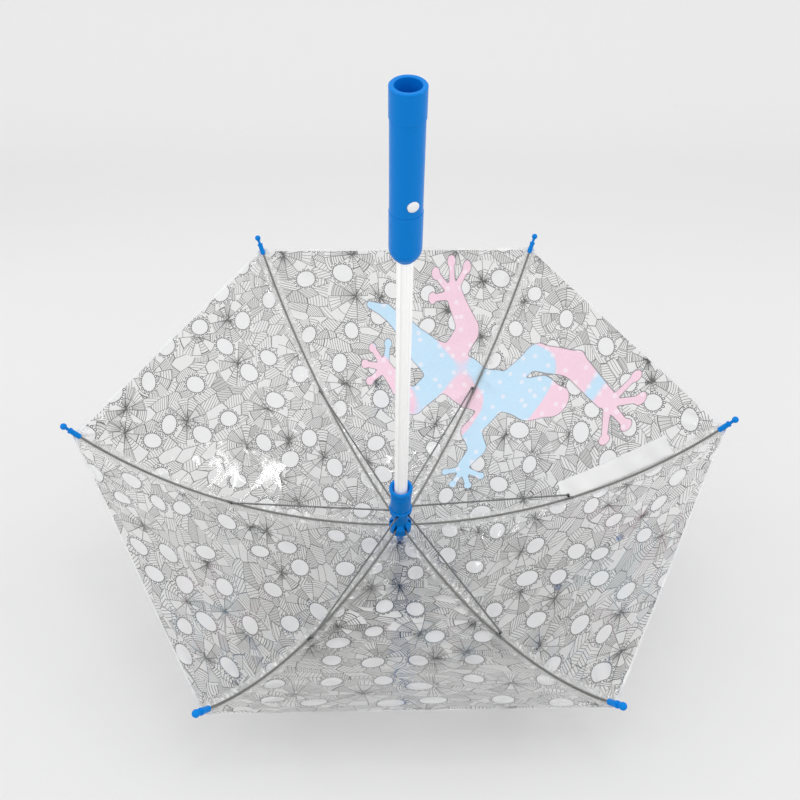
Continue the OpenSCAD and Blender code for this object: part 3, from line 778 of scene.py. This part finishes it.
# ---- what each CAD node that stays is painted with ----
def paints():
    return {
        "blue": plain_paint("blue_plastic_mat", (4, 124, 210), 0.22, scale=700.0, shine=0.09),
        "tube": tube_paint(),
        "guide": plain_paint("light_guide_mat", (232, 240, 246), 0.15, alpha=0.9),
        "rib_steel": plain_paint("dark_steel_mat", (126, 126, 123), 0.35, metallic=0.6, grain=0.1,
                                 scale=2600.0),
        "steel": plain_paint("bright_steel_mat", (118, 119, 120), 0.25, metallic=1.0, grain=0.05,
                             scale=2600.0),
        "white": plain_paint("white_plastic_mat", (240, 241, 243), 0.2, coat=0.5),
        "dark": plain_paint("dark_plastic_mat", (36, 36, 38), 0.5, grain=0.2),
        "brass": plain_paint("brass_mat", (198, 160, 90), 0.3, metallic=1.0),
        "board": plain_paint("board_mat", (24, 96, 58), 0.45, grain=0.2),
        "label": plain_paint("label_mat", (244, 244, 244), 0.7, grain=0.5, scale=1500.0, alpha=0.72),
        "strap": plain_paint("strap_mat", (226, 228, 229), 0.12, coat=1.0, alpha=0.28),
        "weld": plain_paint("weld_mat", (232, 233, 233), 0.15, coat=1.0, alpha=0.35),
        "film": film_paint(),
    }


PAINTED = {
    "blue": ["crown", "canopy_washer", "ferrule", "handle_sleeve", "handle_body", "handle_collar", "runner",
             "battery_cap", *[f"rib_tip_{i}" for i in range(1, 7)]],
    "tube": ["shaft_tube"], "guide": ["light_guide"],
    "rib_steel": [f"rib_{i}" for i in range(1, 7)],
    "steel": ["crown_wire", "runner_wire", "battery_cells",
              *[f"{n}_{i}" for n in ("rib_clip", "stretcher") for i in range(1, 7)]],
    "white": ["push_button", "led", "led_holder"], "dark": ["battery_holder", "tact_switch"],
    "brass": ["battery_spring"], "board": ["circuit_board"], "strap": ["canopy_patch"],
}


# ---- the stage ----
STRIP_LIGHTS = (                    # name, place, aim, size in metres, share of the power
    ("strip_left", (-1.5, -0.9, 1.6), (-0.1, 0, 0.2), (0.05, 0.7), 1.0),
    ("strip_right", (1.6, -0.5, 1.7), (0.1, 0, 0.2), (0.05, 0.7), 1.0),
    ("strip_top", (0.2, -0.5, 2.3), (0, 0.1, 0.2), (0.6, 0.05), 1.0),
    ("strip_back", (-0.4, 1.5, 1.9), (0, 0.1, 0.2), (0.6, 0.05), 0.8),
    ("strip_high_left", (-0.9, -1.4, 2.1), (0, 0, 0.2), (0.05, 0.5), 0.8),
    ("strip_high_right", (0.8, -1.3, 2.2), (0, 0, 0.2), (0.5, 0.05), 0.8),
    ("strip_side", (2.0, 0.7, 1.2), (0, 0, 0.2), (0.05, 0.6), 0.8),
    ("strip_low", (-1.9, 0.8, 1.1), (0, 0, 0.2), (0.05, 0.6), 0.8),
)


def build_floor(grey):
    """A floor that curves up into a backdrop, a little paler towards the back."""
    radius, far, near, wide, top = 2.2, 3.2, -5.0, 14.0, 8.0
    profile = [(near, 0.0), (far, 0.0)]
    for a in np.linspace(0, math.pi / 2, 25)[1:]:
        profile.append((far + radius * math.sin(a), radius * (1 - math.cos(a))))
    profile.append((far + radius, top))
    points = [(x, y, z) for y, z in profile for x in (-wide, wide)]
    faces = [[2 * k, 2 * k + 1, 2 * k + 3, 2 * k + 2] for k in range(len(profile) - 1)]
    p = Paint("floor_mat")
    _, depth, _ = p.split(p.place())
    near_grey, far_grey = [(grey * k,) * 3 + (1,) for k in (0.955, 1.13)]
    p.set(Base_Color=p.mix(depth.ramp(-1.2, 4.6), near_grey, far_grey), Roughness=0.9, Specular_IOR_Level=0.1)
    return new_object("floor", points, faces, p.material, None)


def build_stage(settings):
    staged = [build_floor(settings.floor_grey)]
    world = bpy.data.worlds.new("studio")
    bpy.context.scene.world = world
    world.use_nodes = True
    world.node_tree.nodes["Background"].inputs[0].default_value = (1, 1, 1, 1)
    world.node_tree.nodes["Background"].inputs[1].default_value = settings.fill
    for name, at, aim, (wide, deep), share in STRIP_LIGHTS:
        light = bpy.data.lights.new(name, "AREA")
        light.shape, light.size, light.size_y = "RECTANGLE", wide, deep
        light.energy = settings.key * share
        obj = bpy.data.objects.new(name, light)
        bpy.context.scene.collection.objects.link(obj)
        obj.location = at
        obj.rotation_euler = (Vector(aim) - Vector(at)).to_track_quat("-Z", "Y").to_euler()
        staged.append(obj)


# the camera, in millimetres along the shaft's axis
CAMERA_AT, CAMERA_AIM = (-21.73, -585.79, 911.69), (0.0, 79.63, 138.13)
CAMERA_ROLL = math.radians(0.865)
CAMERA_LENS = 39.98


def build_camera():
    camera = bpy.data.objects.new("camera", bpy.data.cameras.new("camera"))
    bpy.context.scene.collection.objects.link(camera)
    camera.data.sensor_width, camera.data.lens = 36.0, CAMERA_LENS
    at, aim = np.array(CAMERA_AT), np.array(CAMERA_AIM)
    back = (at - aim) / np.linalg.norm(at - aim)
    right = np.cross([0, 0, 1], back)
    right /= np.linalg.norm(right)
    up = np.cross(back, right)
    c, s = math.cos(CAMERA_ROLL), math.sin(CAMERA_ROLL)
    right, up = c * right + s * up, -s * right + c * up
    axes = np.stack([to_row_direction(v) for v in (right, up, back)], 1)
    matrix = Matrix(axes.tolist()).to_4x4()
    matrix.translation = Vector(to_row(at))
    camera.matrix_world = matrix
    camera.data.clip_end = 100
    bpy.context.scene.camera = camera


# ---- add-on: settings, operators and panel ----
def measure(name, description, default, low, high):
    return bpy.props.FloatProperty(name=name, description=description, default=default, min=low, max=high,
                                   unit="LENGTH", subtype="DISTANCE")


class UmbrellaCanopy(bpy.types.PropertyGroup):
    bands: bpy.props.IntProperty(name="Bands", default=6, min=2, max=10,
                                 description="Pieces along each half panel, which fold one by one")
    cell: measure("Cell", "Size of the film's mesh cells", 0.003, 0.002, 0.008)
    pitch: measure("Weld pitch", "Distance between the weld bars of a seam", 0.0022, 0.001, 0.006)
    bar: measure("Weld bar", "Length of one weld bar", 0.0048, 0.002, 0.008)
    offset: measure("Weld offset", "From the rib to the middle of the weld bars", 0.0055, 0.004, 0.01)


class UmbrellaTrim(bpy.types.PropertyGroup):
    length: measure("Label length", "Length of the care label", 0.14, 0.08, 0.15)
    width: measure("Label width", "Width of the care label", 0.024, 0.015, 0.028)
    strap: measure("Strap width", "Width of the closing strap", 0.014, 0.01, 0.018)


class UmbrellaStage(bpy.types.PropertyGroup):
    floor_grey: bpy.props.FloatProperty(name="Floor", description="How pale the floor is", default=0.755,
                                        min=0, max=1, subtype="FACTOR")
    fill: bpy.props.FloatProperty(name="Fill", description="Strength of the even light all round",
                                  default=1.0, min=0)
    key: bpy.props.FloatProperty(name="Key", description="Power of each strip light in watts",
                                 default=2.5, min=0)


STORE = {}          # the paints, once the first operator has made them


def paint(name):
    return STORE["paints"][name]


class UMBRELLA_OT_frame(bpy.types.Operator):
    """Paint the CAD pieces that stay as they are"""
    bl_idname = "umbrella.frame"
    bl_label = "Paint the frame"

    def execute(self, context):
        STORE["paints"] = paints()
        for name, nodes in PAINTED.items():
            for node in nodes:
                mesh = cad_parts[node].data
                mesh.materials.clear()
                mesh.materials.append(paint(name))
        return {"FINISHED"}


class UMBRELLA_OT_canopy(bpy.types.Operator):
    """Build the printed film, six shares of it"""
    bl_idname = "umbrella.canopy"
    bl_label = "Build the canopy"

    def execute(self, context):
        s = context.scene.umbrella_canopy
        half = row(SHARES, FILM / 2)[0] / 2
        for rib in range(RIBS):
            made = build_canopy(rib, s.bands, s.cell * 1000, paint("film"))
            for obj, u0, u1 in made:
                v0, v1 = flat_height(u0), flat_height(u1)
                at = np.linspace(v0, v1, 50)
                widths = np.interp(np.interp(at, FLAT, SHARES), SHARES, half)
                wide = float(widths.max()) / 1000
            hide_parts(f"canopy_{rib + 1}")
        return {"FINISHED"}


class UMBRELLA_OT_seams(bpy.types.Operator):
    """Lay the weld bars along the ribs"""
    bl_idname = "umbrella.seams"
    bl_label = "Build the seams"

    def execute(self, context):
        group, sockets = weld_group()
        for rib in range(RIBS):
            build_welds(rib, group, sockets, context.scene.umbrella_canopy, paint("weld"))
        return {"FINISHED"}


class UMBRELLA_OT_trim(bpy.types.Operator):
    """Build the care label and the closing strap with its snaps"""
    bl_idname = "umbrella.trim"
    bl_label = "Build the trim"

    def execute(self, context):
        s = context.scene.umbrella_trim
        build_label(s.length, s.width, paint("label"))
        build_strap(s.strap, paint("strap"))
        build_snaps(paint("blue"))
        return {"FINISHED"}


class UMBRELLA_OT_stage(bpy.types.Operator):
    """Build the floor, the lights and the camera"""
    bl_idname = "umbrella.stage"
    bl_label = "Build the stage"

    def execute(self, context):
        build_stage(context.scene.umbrella_stage)
        build_camera()
        context.scene.view_settings.view_transform = "Standard"
        return {"FINISHED"}


class UMBRELLA_PT_panel(bpy.types.Panel):
    """Umbrella settings"""
    bl_label = "Umbrella"
    bl_space_type = "VIEW_3D"
    bl_region_type = "UI"
    bl_category = "Umbrella"

    def draw(self, context):
        for name, group, operators in (
            ("Canopy", context.scene.umbrella_canopy,
             ("umbrella.frame", "umbrella.canopy", "umbrella.seams")),
            ("Trim", context.scene.umbrella_trim, ("umbrella.trim",)),
            ("Stage", context.scene.umbrella_stage, ("umbrella.stage",)),
        ):
            box = self.layout.box()
            box.label(text=name)
            for key in group.bl_rna.properties.keys():
                if key not in ("rna_type", "name"):
                    box.prop(group, key)
            for operator in operators:
                box.operator(operator)


CLASSES = (UmbrellaCanopy, UmbrellaTrim, UmbrellaStage, UMBRELLA_OT_frame, UMBRELLA_OT_canopy,
           UMBRELLA_OT_seams, UMBRELLA_OT_trim, UMBRELLA_OT_stage, UMBRELLA_PT_panel)


def register():
    for c in CLASSES:
        bpy.utils.register_class(c)
    bpy.types.Scene.umbrella_canopy = bpy.props.PointerProperty(type=UmbrellaCanopy)
    bpy.types.Scene.umbrella_trim = bpy.props.PointerProperty(type=UmbrellaTrim)
    bpy.types.Scene.umbrella_stage = bpy.props.PointerProperty(type=UmbrellaStage)


def unregister():
    del bpy.types.Scene.umbrella_canopy, bpy.types.Scene.umbrella_trim, bpy.types.Scene.umbrella_stage
    for c in reversed(CLASSES):
        bpy.utils.unregister_class(c)


def main():
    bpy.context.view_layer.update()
    register()
    steps = bpy.ops.umbrella
    for operator in (steps.frame, steps.canopy, steps.seams, steps.trim, steps.stage):
        operator()


if __name__ == "__main__":
    main()
